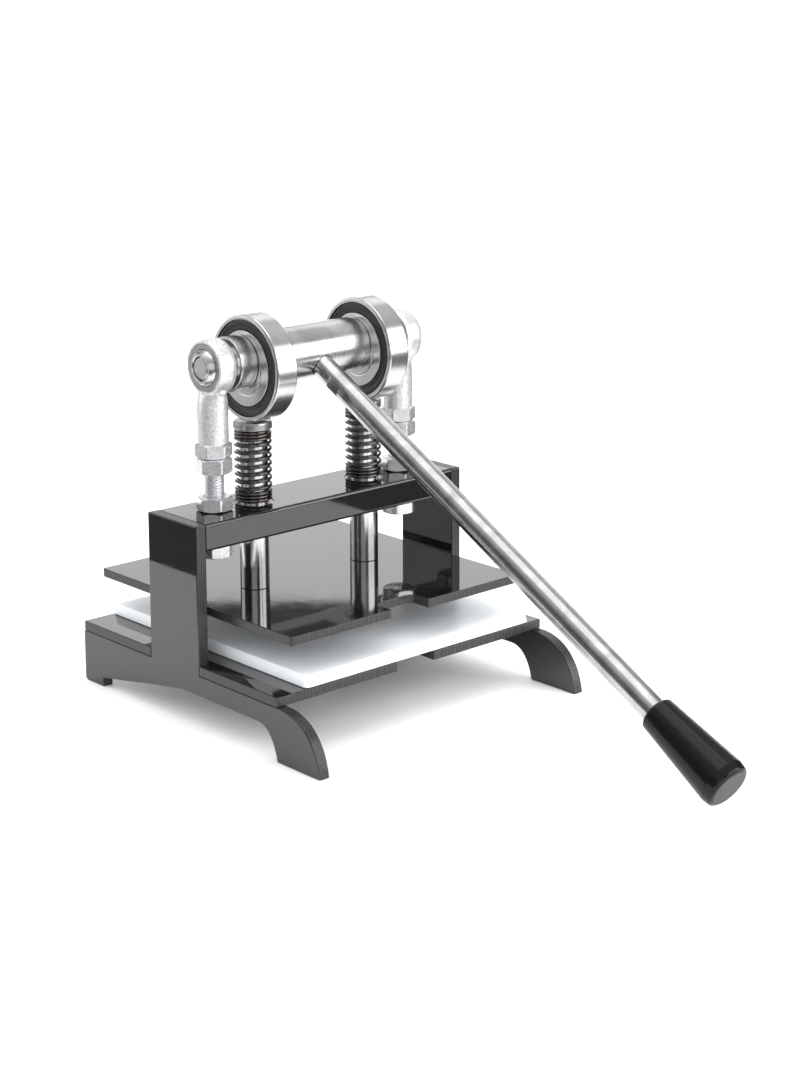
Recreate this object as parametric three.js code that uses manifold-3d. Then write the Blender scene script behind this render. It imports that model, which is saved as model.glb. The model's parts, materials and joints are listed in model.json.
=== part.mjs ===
// Hand-lever cam press for cutting sheet goods. Millimetres, +Z up, front of the press faces -Y.
import * as THREE from 'three';
import { mergeVertices } from 'three/addons/utils/BufferGeometryUtils.js';
import Module from 'manifold-3d';

const wasm = await Module();
wasm.setup();

// ---- driving dimensions -------------------------------------------------------------------
const GAP = 0.3;                 // clearance between pieces that touch
const HALF_W = 117.5;            // outer face of a side plate
const SIDE_T = 8;                // side plate thickness
const COL = 26.5;                // half depth of a column
const COL_TOP = 136.4;
const BASE = { front: -107.5, rear: 105.5, z0: 36.1, z1: 42.6 };
const NOTCH = { half: 16.2, base: 14.7, press: 17 };
const BOARD = { x: 6.2, y: -1.3, w: 200, d: 212, z0: 42.9, z1: 50.4, draft: 2.2, r: 3.5 };
const BEAM = { z0: 118, z1: 136.4, edge: 1.9 };
const PRESS = { w: 101, front: -102.3, rear: 105.7, z0: 71.1, z1: 77.1 };
const POST = { x: 49, r: 10, cap_r: 13.1, cap_z: 187, cap_top: 192.4 };
const STUD = { x: 82, r: 6.8, af: 22 };
const SHAFT = { z: 233, r: 18.5, pin_r: 7.9, pin_end: 91.5 };
const CAM = { y: -2.55, z: -4.07, r: 17.5 };                  // cam offset from the shaft axis
const BRG = { x: 49, w: 17, r: 36, bore: 17.8, ir: 25.4, or: 32.6 };
const EYE = { w: 14, r: 18.9, bore: 16.3, ball: 14, ball_w: 20 };
const SPRING = { r: 11.8, wire: 2.1, tight: 2.35, top: 2.5, bottom: 3.25, active: 7 };
const LEVER = { angle: THREE.MathUtils.degToRad(28.6), r: 8, end: 414, flat0: 33.5, flat1: 45 };
const GRIP = { start: 360, end: 424, r0: 11.4, r1: 15.8 };
const SEG = 28;                  // facets round a turned piece

// ---- helpers ------------------------------------------------------------------------------
const X = new THREE.Vector3(1, 0, 0), Y = new THREE.Vector3(0, 1, 0), Z = new THREE.Vector3(0, 0, 1);
const LEVER_DIR = new THREE.Vector3(0, -Math.cos(LEVER.angle), -Math.sin(LEVER.angle));

const weld = (g) => {
  g.deleteAttribute('normal');
  if (g.getAttribute('uv')) g.deleteAttribute('uv');
  return mergeVertices(g, 1e-4);
};
// profile of [radius, height] pairs turned round an axis through `at`
const turn = (profile, axis = Z, at = [0, 0, 0], seg = SEG) => {
  const g = weld(new THREE.LatheGeometry(profile.map((p) => new THREE.Vector2(...p)), seg));
  g.applyQuaternion(new THREE.Quaternion().setFromUnitVectors(Y, axis));
  return g.translate(...at);
};
const rod = (r, h0, h1, axis, at, seg) => turn([[0, h0], [r, h0], [r, h1], [0, h1]], axis, at, seg);
const ring = (r0, r1, h0, h1, axis, at, seg) =>
  turn([[r0, h0], [r1, h0], [r1, h1], [r0, h1], [r0, h0]], axis, at, seg);
const outline = (pts) => new THREE.Shape(pts.map((p) => new THREE.Vector2(...p)));
const extrudeZ = (shape, z0, z1, curveSegments = 8) => weld(
  new THREE.ExtrudeGeometry(shape, { depth: z1 - z0, bevelEnabled: false, curveSegments }),
).translate(0, 0, z0);
// a (y, z) profile extruded along X
const extrudeX = (shape, x0, x1, curveSegments = 8) => extrudeZ(shape, x0, x1, curveSegments)
  .applyMatrix4(new THREE.Matrix4().makeBasis(Y, Z, X));
// an (x, z) profile extruded along Y
const extrudeY = (shape, y0, y1) => extrudeZ(shape, -y1, -y0)
  .applyMatrix4(new THREE.Matrix4().makeBasis(X, Z, Y.clone().negate()));
const box = (x0, x1, y0, y1, z0, z1) => weld(new THREE.BoxGeometry(x1 - x0, y1 - y0, z1 - z0))
  .translate((x0 + x1) / 2, (y0 + y1) / 2, (z0 + z1) / 2);
const solid = (g) => new wasm.Manifold(new wasm.Mesh({
  numProp: 3,
  vertProperties: new Float32Array(g.getAttribute('position').array),
  triVerts: new Uint32Array(g.getIndex().array),
}));
const geometry = (s) => {
  const m = s.getMesh();
  const g = new THREE.BufferGeometry();
  g.setAttribute('position', new THREE.Float32BufferAttribute(m.vertProperties, 3));
  g.setIndex(Array.from(m.triVerts));
  return g;
};
const cut = (g, ...tools) => geometry(tools.reduce((s, t) => s.subtract(solid(t)), solid(g)));
const fuse = (...parts) => geometry(parts.map(solid).reduce((a, b) => a.add(b)));
const common = (a, b) => geometry(solid(a).intersect(solid(b)));

const hexagon = (af, turned = 0) => outline([0, 1, 2, 3, 4, 5].map((k) => {
  const a = turned + Math.PI / 6 + (k * Math.PI) / 3;
  return [(af / Math.sqrt(3)) * Math.cos(a), (af / Math.sqrt(3)) * Math.sin(a)];
}));
// hexagon block with its corners turned off at the ends named
const hexBlock = (af, z0, z1, turned = 0, both = true) => {
  const c = af / Math.sqrt(3), e = 1.1;
  const low = both ? [[0, z0], [c - 1.6, z0], [c + 0.1, z0 + e]] : [[0, z0], [c + 0.1, z0]];
  return common(extrudeZ(hexagon(af, turned), z0, z1),
    turn([...low, [c + 0.1, z1 - e], [c - 1.6, z1], [0, z1]], Z, [0, 0, 0], 18));
};
const roundedRect = (x0, x1, y0, y1, r, n = 4) => {
  const pts = [];
  const corners = [[x1 - r, y0 + r, -90], [x1 - r, y1 - r, 0], [x0 + r, y1 - r, 90], [x0 + r, y0 + r, 180]];
  corners.forEach(([cx, cy, a0]) => {
    for (let i = 0; i <= n; i++) {
      const a = THREE.MathUtils.degToRad(a0 + (90 * i) / n);
      pts.push([cx + r * Math.cos(a), cy + r * Math.sin(a)]);
    }
  });
  return pts;
};
// walls between two outlines with the same number of points
const loft = (low, high, z0, z1) => {
  const n = low.length, pos = [], idx = [];
  low.forEach((p) => pos.push(...p, z0));
  high.forEach((p) => pos.push(...p, z1));
  const faces = THREE.ShapeUtils.triangulateShape(low.map((p) => new THREE.Vector2(...p)), []);
  faces.forEach(([a, b, c]) => idx.push(c, b, a, a + n, b + n, c + n));
  for (let i = 0; i < n; i++) {
    const j = (i + 1) % n;
    idx.push(i, j, j + n, i, j + n, i + n);
  }
  const g = new THREE.BufferGeometry();
  g.setAttribute('position', new THREE.Float32BufferAttribute(pos, 3));
  g.setIndex(idx);
  return g;
};

// ---- materials and node list ----------------------------------------------------------------
const press = new THREE.Group();
press.name = 'hand_lever_cam_press';
const paint = (color, metalness, roughness) => () =>
  new THREE.MeshStandardMaterial({ color, metalness, roughness });
const BLACK = paint(0x1b1c1f, 0.2, 0.15), WHITE = paint(0xf2f5f7, 0, 0.35);
const ZINC = paint(0xd5d8d9, 0.9, 0.35), CHROME = paint(0xdfe2e4, 1, 0.12);
const STEEL = paint(0x9a9b9c, 0.95, 0.3), SPRING_STEEL = paint(0x55504e, 0.9, 0.25);
const SEAL = paint(0x202124, 0, 0.6), PLASTIC = paint(0x0c0c0e, 0, 0.25);
const BRONZE = paint(0x9b7a48, 0.9, 0.35);
const add = (name, g, material) => {
  const mesh = new THREE.Mesh(g, material());
  mesh.name = name;
  mesh.material.name = name;
  press.add(mesh);
};
const SIDES = [['left', -1], ['right', 1]];

// ---- frame ----------------------------------------------------------------------------------
const sideProfile = () => {
  const top = BASE.z0 - GAP, s = new THREE.Shape();
  s.moveTo(84.3, 0);
  s.lineTo(103, 0);
  s.quadraticCurveTo(106, 0, 106, 3);
  s.lineTo(106, top);
  s.lineTo(COL, top);
  s.lineTo(COL, COL_TOP);
  s.lineTo(-COL, COL_TOP);
  s.lineTo(-COL, top);
  s.lineTo(-108, top);
  s.bezierCurveTo(-129, 36.5, -144.5, 24, -148, 0);
  s.lineTo(-106.5, 0);
  s.bezierCurveTo(-104, 11, -98.5, 21, -88, 22);
  s.lineTo(-8, 22.2);
  s.lineTo(28, 16.4);
  s.lineTo(84.3, 6.2);
  s.closePath();
  return s;
};
for (const [side, s] of SIDES) {
  const [a, b] = s < 0 ? [-HALF_W, -HALF_W + SIDE_T] : [HALF_W - SIDE_T, HALF_W];
  add(`side_plate_${side}`, extrudeX(sideProfile(), a, b, 9), BLACK);
}
const IN = HALF_W - SIDE_T;      // inner face of a side plate
{
  const { front, rear, z0, z1 } = BASE, n = NOTCH.half, c = COL + GAP, w = HALF_W, i = IN - GAP;
  const back = front + NOTCH.base;
  const pts = [[-w, front], [-n, front], [-n, back], [n, back], [n, front], [w, front], [w, -c], [i, -c],
    [i, c], [w, c], [w, rear], [-w, rear], [-w, c], [-i, c], [-i, -c], [-w, -c]];
  add('base_plate', extrudeZ(outline(pts), z0, z1), BLACK);
}
{
  const { z0, z1, edge: e } = BEAM, c = COL;
  const bar = outline([[-c, z0 + e], [-c + e, z0], [c - e, z0], [c, z0 + e],
    [c, z1 - e], [c - e, z1], [-c + e, z1], [-c, z1 - e]]);
  const holes = SIDES.flatMap(([, s]) => [
    rod(13.3, z0 - 1, z1 + 1, Z, [s * POST.x, 0, 0]), rod(7.3, z0 - 1, z1 + 1, Z, [s * STUD.x, 0, 0], 24)]);
  add('crossbeam', cut(extrudeX(bar, -IN + GAP, IN - GAP), ...holes), BLACK);
}
// weld beads run in the inner corners under the base plate and under the beam
const bead = (s, z, y0, y1) => {
  const w = s * (IN - GAP), v = z - GAP;
  const section = [[w, v], [w, v - 4], [w - s * 1.9, v - 3.6], [w - s * 3.6, v - 1.9], [w - s * 4, v]];
  return extrudeY(outline(section), y0, y1);
};
for (const [side, s] of SIDES) {
  add(`base_weld_front_${side}`, bead(s, BASE.z0, -98, -31), BLACK);
  add(`base_weld_rear_${side}`, bead(s, BASE.z0, 31, 98), BLACK);
  add(`beam_weld_${side}`, bead(s, BEAM.z0, -23, 23), BLACK);
}
{
  const { x, y, w, d, z0, z1, draft: t, r } = BOARD;
  const edge = (k, rr) =>
    roundedRect(x - w / 2 + k, x + w / 2 - k, y - d / 2 + k, y + d / 2 - k, rr);
  add('cutting_board', loft(edge(0, r), edge(t, r - 0.8), z0, z1), WHITE);
}

// ---- hold-down studs, nuts and rod ends -------------------------------------------------------
const arc = (r, hw, n) => Array.from({ length: n + 1 }, (_, k) => {
  const u = hw - (2 * hw * k) / n;
  return [Math.sqrt(r * r - u * u), u];
});
for (const [side, s] of SIDES) {
  const at = [s * STUD.x, 0, 0], o = [0, 0, 0];
  const move = (g) => g.translate(...at);
  const hole = (r, z0, z1) => rod(r, z0, z1, Z, o, 16);
  const thread = turn([[0, 113], [STUD.r, 113], [STUD.r, 197], [STUD.r - 1.2, 198.2], [0, 198.2]], Z, o, 20);
  const nut = (z0, z1, turned) => move(cut(hexBlock(STUD.af, z0, z1, turned), hole(7.1, z0 - 5, z1 + 5)));
  add(`stud_bolt_${side}`, move(fuse(hexBlock(STUD.af, 105.2, 114, 0.2), thread)), ZINC);
  add(`bolt_washer_${side}`, ring(7.3, 13.6, 114.3, 117.7, Z, at, 20), ZINC);
  add(`beam_nut_${side}`, nut(136.7, 146.2, -0.31), ZINC);
  add(`jam_nut_${side}`, nut(161.8, 172.3, -0.22), ZINC);

  const h = EYE.w / 2, zc = SHAFT.z, eyeAt = [0, 0, zc];
  const eye = turn([[0, -h], [16.9, -h], [18.2, -h + 1.4], [EYE.r, -h + 3.6], [EYE.r, h - 3.6],
    [18.2, h - 1.4], [16.9, h], [0, h]], X, eyeAt, 24);
  // the round shank narrows to the width of the eye
  const cheeks = [[-11, 179], [11, 179], [11, 207], [h, 215.5], [h, zc], [-h, zc], [-h, 215.5], [-11, 207]];
  const shank = common(turn([[0, 180], [10.4, 180], [10.4, zc], [0, zc]], Z, o, 20),
    extrudeY(outline(cheeks), -12, 12));
  const body = fuse(eye, shank, hexBlock(STUD.af, 172.6, 182));
  const bore = rod(EYE.bore, -h - 1, h + 1, X, eyeAt, 24);
  add(`rod_end_${side}`, move(cut(body, bore, hole(7.1, 170, 200))), ZINC);

  const centre = [s * STUD.x, 0, zc], shell = EYE.bore - GAP;
  add(`rod_end_race_${side}`, turn([[shell, -6.6], [shell, 6.6], ...arc(EYE.ball + GAP, 6.6, 4),
    [shell, -6.6]], X, centre, 24), BRONZE);
  const b = EYE.ball_w / 2, pin = SHAFT.pin_r + GAP;
  add(`rod_end_ball_${side}`, turn([[pin, -b], ...arc(EYE.ball, b, 5).reverse(), [pin, b], [pin, -b]],
    X, centre, 24), STEEL);
}

// ---- ram: pressure plate, posts, caps, springs -------------------------------------------------
{
  const { w, front, rear, z0, z1 } = PRESS, n = NOTCH.half, back = front + NOTCH.press, q = 9;
  const s = new THREE.Shape();
  s.moveTo(-w + 2, front);
  s.lineTo(-n, front);
  s.lineTo(-n, back - q);
  s.quadraticCurveTo(-n, back, -n + q, back);
  s.lineTo(n - q, back);
  s.quadraticCurveTo(n, back, n, back - q);
  s.lineTo(n, front);
  s.lineTo(w - 2, front);
  s.lineTo(w, front + 2);
  s.lineTo(w, rear - 2);
  s.lineTo(w - 2, rear);
  s.lineTo(-w + 2, rear);
  s.lineTo(-w, rear - 2);
  s.lineTo(-w, front + 2);
  s.closePath();
  const sink = (x) => turn([[0, z0 - 0.5], [9.8, z0 - 0.5], [9.3, z0], [5.3, z0 + 4], [5.3, z1 + 1],
    [0, z1 + 1]], Z, [x, 0, 0], 24);
  add('pressure_plate', cut(extrudeZ(s, z0, z1, 5), sink(-POST.x), sink(POST.x)), BLACK);
}
class Coil extends THREE.Curve {
  constructor(x, z0, z1) {
    super();
    const { tight, top, bottom, active } = SPRING, open = bottom + active;
    this.x = x;
    this.turns = open + top;
    this.knots = [[0, z0], [bottom, z0 + bottom * tight], [open, z1 - top * tight], [this.turns, z1]];
  }

  getPoint(t, target = new THREE.Vector3()) {
    const n = t * this.turns, k = this.knots;
    const i = n < k[1][0] ? 0 : n < k[2][0] ? 1 : 2;
    const z = k[i][1] + ((k[i + 1][1] - k[i][1]) * (n - k[i][0])) / (k[i + 1][0] - k[i][0]);
    const a = 2 * Math.PI * n;
    return target.set(this.x + SPRING.r * Math.cos(a), SPRING.r * Math.sin(a), z);
  }
}
for (const [side, s] of SIDES) {
  const x = s * POST.x, r = POST.r, at = [x, 0, 0];
  add(`guide_bush_${side}`, ring(r + GAP, 13, BEAM.z0 + GAP, BEAM.z1 - GAP, Z, at), BRONZE);
  add(`guide_post_${side}`, turn([[0, 97], [5.3, 97], [5.3, 77.4], [r, 77.4], [r, 189], [r - 0.7, 189.7],
    [0, 189.7]], Z, at), CHROME);
  const screw = turn([[0, 71.3], [9, 71.3], [5, 75.3], [5, 94.5], [4, 95.5], [0, 95.5]], Z, at, 24);
  add(`plate_screw_${side}`, cut(screw, extrudeZ(hexagon(6), 70, 74).translate(...at)), ZINC);
  const c = POST.cap_r, z0 = POST.cap_z, z1 = POST.cap_top;
  add(`spring_cap_${side}`, turn([[0, 190], [r + GAP, 190], [r + GAP, z0], [c - 0.5, z0], [c, z0 + 0.5],
    [c, z1 - 1.2], [c - 1.2, z1], [0, z1]], Z, at, 24), STEEL);
  const w = SPRING.wire / 2, coil = new Coil(x, BEAM.z1 + GAP + w, z0 - GAP - w);
  const section = outline([0, 1, 2, 3, 4].map((k) => 0.4 * k * Math.PI)
    .map((a) => [w * Math.cos(a), w * Math.sin(a)]));
  add(`return_spring_${side}`, weld(new THREE.ExtrudeGeometry(section,
    { steps: Math.round(coil.turns * 10), extrudePath: coil, curveSegments: 1 })), SPRING_STEEL);
}

// ---- cam shaft, bearings and lever --------------------------------------------------------------
const camAt = (x) => [x, CAM.y, SHAFT.z + CAM.z];
const span = (a, b) => [Math.min(a, b), Math.max(a, b)];
{
  const axis = [0, 0, SHAFT.z], p = SHAFT.pin_end, r = SHAFT.pin_r, h = BRG.x - BRG.w / 2;
  const bar = fuse(
    turn([[0, -p], [r - 1.2, -p], [r, -p + 1], [r, p - 1], [r - 1.2, p], [0, p]], X, axis, 24),
    rod(SHAFT.r, -h + GAP, h - GAP, X, axis, 32),
    ...SIDES.map(([, s]) => rod(CAM.r, ...span(s * (h - 2), s * (h + BRG.w)), X, camAt(0), 28)),
  );
  add('cam_shaft', cut(bar, rod(LEVER.r + GAP, -8, 30, LEVER_DIR, axis, 24)), CHROME);
}
for (const [side, s] of SIDES) {
  const h = BRG.w / 2, at = camAt(s * BRG.x), { bore, ir, or, r } = BRG;
  const collar = span(s * (BRG.x + h + GAP), s * (STUD.x - EYE.ball_w / 2 - GAP));
  add(`shaft_collar_${side}`, ring(SHAFT.pin_r + GAP, SHAFT.r, ...collar, X, [0, 0, SHAFT.z]), CHROME);
  add(`bearing_inner_ring_${side}`, ring(bore, ir, -h, h, X, at, 32), CHROME);
  add(`bearing_outer_ring_${side}`, turn([[or, -h], [r - 1, -h], [r, -h + 1], [r, h - 1], [r - 1, h],
    [or, h], [or, -h]], X, at, 40), CHROME);
  for (const [face, t] of [['outer', s], ['inner', -s]]) {
    add(`bearing_seal_${face}_${side}`, ring(ir + GAP, or - GAP, ...span(t * 6.6, t * 8), X, at), SEAL);
  }
  const balls = Array.from({ length: 9 }, (_, k) => {
    const a = (2 * Math.PI * k) / 9;
    return weld(new THREE.SphereGeometry(3.2, 6, 4))
      .translate(at[0], at[1] + 29 * Math.cos(a), at[2] + 29 * Math.sin(a));
  });
  add(`bearing_ball_cage_${side}`, fuse(ring(28.1, 29.9, -1, 1, X, at, 18), ...balls), STEEL);
}
{
  const { r, end, flat0, flat1 } = LEVER, at = [0, 0, SHAFT.z], f = 6.7;
  const slab = (x0, x1) => box(x0, x1, -12, 12, flat0, flat1)
    .applyQuaternion(new THREE.Quaternion().setFromUnitVectors(Z, LEVER_DIR)).translate(...at);
  const bar = turn([[0, -6], [r - 1, -6], [r, -5], [r, end - 1], [r - 1, end], [0, end]], LEVER_DIR, at, 24);
  add('lever_rod', cut(bar, slab(f, 12), slab(-12, -f)), CHROME);
  const { start, end: tip, r0, r1 } = GRIP, b = r + GAP;
  add('handle_grip', turn([[0, end + 0.5], [b, end + 0.5], [b, start], [r0 - 1.3, start],
    [r0 - 0.3, start + 0.5], [r0, start + 1.6], [r1, tip - 4.5], [r1 - 0.1, tip - 2.6], [r1 - 0.9, tip - 1],
    [r1 - 2.6, tip - 0.1], [0, tip]], LEVER_DIR, at), PLASTIC);
}

// ---- origin at the middle of the footprint, on the bench ------------------------------------------
const bounds = new THREE.Box3().setFromObject(press);
const middle = bounds.getCenter(new THREE.Vector3());
press.children.forEach((m) => m.geometry.translate(-middle.x, -middle.y, -bounds.min.z));

export default press;
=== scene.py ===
"""Looks of the hand-lever cam press: every CAD piece gets its finished mesh and material."""
import json
import math

import bmesh
import bpy
from mathutils import Matrix, Vector, geometry


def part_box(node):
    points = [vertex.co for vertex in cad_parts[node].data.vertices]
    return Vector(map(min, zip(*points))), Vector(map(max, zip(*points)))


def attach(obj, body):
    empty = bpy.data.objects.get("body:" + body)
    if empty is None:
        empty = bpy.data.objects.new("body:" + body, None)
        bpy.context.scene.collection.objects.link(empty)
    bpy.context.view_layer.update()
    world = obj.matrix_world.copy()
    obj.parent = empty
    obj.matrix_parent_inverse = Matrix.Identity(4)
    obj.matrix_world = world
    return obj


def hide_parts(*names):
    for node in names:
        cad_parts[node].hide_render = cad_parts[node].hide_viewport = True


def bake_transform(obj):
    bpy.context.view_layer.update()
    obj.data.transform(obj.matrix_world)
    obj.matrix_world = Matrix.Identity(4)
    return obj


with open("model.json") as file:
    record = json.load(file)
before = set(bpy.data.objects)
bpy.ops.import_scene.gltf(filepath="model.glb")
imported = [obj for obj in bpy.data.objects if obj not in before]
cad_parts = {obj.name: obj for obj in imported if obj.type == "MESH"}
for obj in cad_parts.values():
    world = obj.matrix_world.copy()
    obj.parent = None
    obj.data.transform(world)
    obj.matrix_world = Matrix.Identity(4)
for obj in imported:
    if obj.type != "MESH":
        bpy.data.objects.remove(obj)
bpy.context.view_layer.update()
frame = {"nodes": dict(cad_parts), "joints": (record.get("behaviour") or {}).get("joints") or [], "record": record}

# ---- the frame, read in millimetres --------------------------------------------------------------
MM = 0.001
SIDES = (("left", -1), ("right", 1))
X, Y, Z = Vector((1, 0, 0)), Vector((0, 1, 0)), Vector((0, 0, 1))
RECORD = frame["record"]
BODY = {n: b for b, nodes in RECORD["behaviour"]["bodies"].items() for n in nodes}
JOINT = {j["name"]: j for j in frame["joints"]}
SHAFT_AXIS = Vector(JOINT["lever_turn"]["pos_m"]) / MM
ROLLER = {s: Vector(JOINT[f"roller_{s}_spin"]["pos_m"]) / MM for s, _ in SIDES}
LEVER_DOWN = math.radians(28.6)              # how far the lever points below the horizon at rest
LEVER_DIR = Vector((0, -math.cos(LEVER_DOWN), -math.sin(LEVER_DOWN)))
SMOOTH = 32                                  # degrees: sharper edges than this stay hard


def box(node):
    lo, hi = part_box(node)
    return lo / MM, hi / MM


def middle(node):
    lo, hi = box(node)
    return (lo + hi) / 2


# ---- mesh helpers --------------------------------------------------------------------------------
def mesh_object(name, verts, faces, *materials, smooth=SMOOTH):
    """A new object from vertices in millimetres, smooth except over edges sharper than `smooth` degrees."""
    mesh = bpy.data.meshes.new(name)
    mesh.from_pydata([Vector(v) * MM for v in verts], [], faces)
    bm = bmesh.new()
    bm.from_mesh(mesh)
    bmesh.ops.remove_doubles(bm, verts=bm.verts, dist=2e-7)
    bmesh.ops.recalc_face_normals(bm, faces=bm.faces)
    bm.to_mesh(mesh)
    bm.free()
    soften(mesh, smooth)
    for m in materials:
        mesh.materials.append(m)
    obj = bpy.data.objects.new(name, mesh)
    bpy.context.scene.collection.objects.link(obj)
    return obj


def soften(mesh, degrees):
    mesh.shade_smooth()
    mesh.set_sharp_from_angle(angle=math.radians(degrees))


def modified(obj, degrees=SMOOTH):
    """Puts the modifiers' result into the object's mesh."""
    graph = bpy.context.evaluated_depsgraph_get()
    mesh = bpy.data.meshes.new_from_object(obj.evaluated_get(graph))
    obj.modifiers.clear()
    obj.data = mesh
    soften(mesh, degrees)
    return obj


def cut(obj, tool, degrees=SMOOTH):
    """Takes the tool's shape out of the object and removes the tool."""
    boolean = obj.modifiers.new("cut", "BOOLEAN")
    boolean.operation = "DIFFERENCE"
    boolean.solver = "EXACT"
    boolean.object = tool
    modified(obj, degrees)
    bpy.data.objects.remove(tool)
    return obj


def held(points, closed=False, near=0.15, longer=1.2):
    """Adds a point just inside each end of the long runs, so that smooth shading stays flat along them."""
    points = [Vector(p) for p in points]
    made = []
    for i, p in enumerate(points):
        made.append(p)
        if i == len(points) - 1 and not closed:
            break
        run = points[(i + 1) % len(points)] - p
        if run.length > longer:
            made += [p + run.normalized() * near, p + run - run.normalized() * near]
    return made


def fillet(points, steps=5, closed=False, near=0.15):
    """Corners given as (x, y, radius) become arcs; a corner without a radius stays sharp."""
    made = []
    count = len(points)
    for i, (x, y, *radius) in enumerate(points):
        corner = Vector((x, y))
        at_end = not closed and i in (0, count - 1)
        if not radius or at_end:
            made.append(corner)
            continue
        before = Vector(points[i - 1][:2]) - corner
        after = Vector(points[(i + 1) % count][:2]) - corner
        half = before.angle(after) / 2
        reach = min(radius[0] / math.tan(half), before.length * 0.49, after.length * 0.49)
        r = reach * math.tan(half)
        hub = corner + (before.normalized() + after.normalized()).normalized() * r / math.sin(half)
        first = corner + before.normalized() * reach - hub
        last = corner + after.normalized() * reach - hub
        sweep = math.atan2(first.x * last.y - first.y * last.x, first.dot(last))
        for k in range(steps + 1):
            turn = Matrix.Rotation(sweep * k / steps, 2)
            made.append(hub + turn @ first)
    return held(made, closed, near, max(1.2, near * 2.5))


def rounded(points, steps=3):
    """Closed section of a ring with its corners rounded."""
    return [tuple(p) for p in fillet(points, steps, closed=True)]


def revolve(rings, axis=Z, at=(0, 0, 0), seg=96, closed=False):
    """Rings of (radius, height) turned round an axis; either may be a function of the angle."""
    turn = Z.rotation_difference(axis).to_matrix()
    at = Vector(at)
    verts, faces, rows = [], [], []
    for radius, height in rings:
        pole = not callable(radius) and radius < 1e-6
        row = []
        for j in range(1 if pole else seg):
            a = 2 * math.pi * j / seg
            r = radius(a) if callable(radius) else radius
            h = height(a) if callable(height) else height
            row.append(len(verts))
            verts.append(at + turn @ Vector((r * math.cos(a), r * math.sin(a), h)))
        rows.append(row)
    pairs = list(zip(rows, rows[1:])) + ([(rows[-1], rows[0])] if closed else [])
    for low, high in pairs:
        for j in range(seg):
            k = (j + 1) % seg
            if len(low) == 1 and len(high) == 1:
                break
            if len(low) == 1:
                faces.append((low[0], high[k], high[j]))
            elif len(high) == 1:
                faces.append((low[j], low[k], high[0]))
            else:
                faces.append((low[j], low[k], high[k], high[j]))
    return verts, faces


def joined(*shapes):
    verts, faces = [], []
    for v, f in shapes:
        base = len(verts)
        verts += v
        faces += [tuple(i + base for i in face) for face in f]
    return verts, faces


def edge(e, w0, w1, steps=3):
    """Section of a plate's rim from w0 to w1, both corners rounded by e, as (inset, height) pairs."""
    quarter = [math.pi / 2 * k / steps for k in range(steps + 1)]
    low = [(e + 0.2, w0)] + [(e * (1 - math.sin(a)), w0 + e * (1 - math.cos(a))) for a in quarter]
    return held(low + [(i, w0 + w1 - w) for i, w in reversed(low)])


def outline(points, steps):
    """Plan of a plate; its corner radii and held points are larger than the rounding of its rim."""
    return fillet(points, steps, closed=True, near=1.2)


def slab(loops, place):
    """Plate between outlines with the material on their left. loops are (points, section) pairs."""
    verts, faces, rims = [], [], []
    for points, section in loops:
        points = [Vector(p) for p in points]
        count, first = len(points), len(verts)
        inward = []
        for i, p in enumerate(points):
            a = (p - points[i - 1]).normalized()
            b = (points[(i + 1) % count] - p).normalized()
            na, nb = Vector((-a.y, a.x)), Vector((-b.y, b.x))
            inward.append((na + nb) / max(0.25, 1 + na.dot(nb)))
        for inset, w in section:
            verts += [place(*(p + d * inset), w) for p, d in zip(points, inward)]
        for k in range(len(section) - 1):
            for i in range(count):
                a, b = first + k * count + i, first + k * count + (i + 1) % count
                faces.append((a, b, b + count, a + count))
        rims.append((points, inward, section, first))
    for end in (0, -1):
        flat, index = [], []
        for points, inward, section, first in rims:
            inset = section[end][0]
            flat.append([(p + d * inset).to_3d() for p, d in zip(points, inward)])
            row = first + (len(section) - 1 if end else 0) * len(points)
            index += range(row, row + len(points))
        faces += [tuple(index[i] for i in tri) for tri in geometry.tessellate_polygon(flat)]
    return verts, faces


def circle(x, y, r, count=64):
    """Outline of a round hole."""
    turns = [2 * math.pi * k / count for k in range(count)]
    return [(x + r * math.cos(a), y + r * math.sin(a)) for a in reversed(turns)]


def bezier(p0, p1, p2, p3, steps=14):
    points = []
    for k in range(1, steps + 1):
        t = k / steps
        u = 1 - t
        weights = (u**3, 3 * u * u * t, 3 * u * t * t, t**3)
        points.append(tuple(sum(w * p[i] for w, p in zip(weights, (p0, p1, p2, p3))) for i in (0, 1)))
    return points


def hex_radius(af, turned=0.0, clip=0.25):
    """Radius of a hexagon across its flats `af`, with its corners just taken off."""
    def radius(a):
        within = (a - turned + math.pi / 6) % (math.pi / 3) - math.pi / 6
        return min(af / 2 / math.cos(within), af / math.sqrt(3) - clip)
    return radius


def nut_rings(af, z0, z1, bore, turned=0.0, low=True, high=True, chamfer=0.95):
    """Closed rings of a hexagon nut with 30 degree chamfers and a countersunk bore."""
    hexagon, cone = hex_radius(af, turned), af / 2 * chamfer
    slope = math.tan(math.radians(30))

    def face(a):
        return min(hexagon(a), cone)

    def drop(z, sign):
        return lambda a: z + sign * (hexagon(a) - face(a)) * slope
    outer = [(face, z0), (hexagon, drop(z0, 1))] if low else [(hexagon, z0)]
    outer += [(hexagon, drop(z1, -1)), (face, z1)] if high else [(hexagon, z1)]
    return outer + [(bore + 0.8, z1), (bore, z1 - 0.8), (bore, z0 + 0.8), (bore + 0.8, z0)]


def thread_rings(r, pitch, z0, z1, per_turn=10):
    """Rings of a right-hand screw thread, fading into plain chamfered ends."""
    depth = 0.58 * pitch
    count = round((z1 - z0) / pitch * per_turn)

    def ring(z):
        fade = min(1.0, (z1 - z) / pitch, (z - z0) / pitch)

        def radius(a):
            phase = (z / pitch - a / (2 * math.pi)) % 1
            crest = min(1.0, max(0.0, (abs(phase - 0.5) - 0.05) / 0.26))
            return r - depth * (1 - crest) * max(0.0, fade) - depth * (1 - max(0.0, fade)) * 0.9
        return radius
    heights = [z0 + (z1 - z0) * k / count for k in range(count + 1)]
    return [(ring(z), z) for z in heights]


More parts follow.
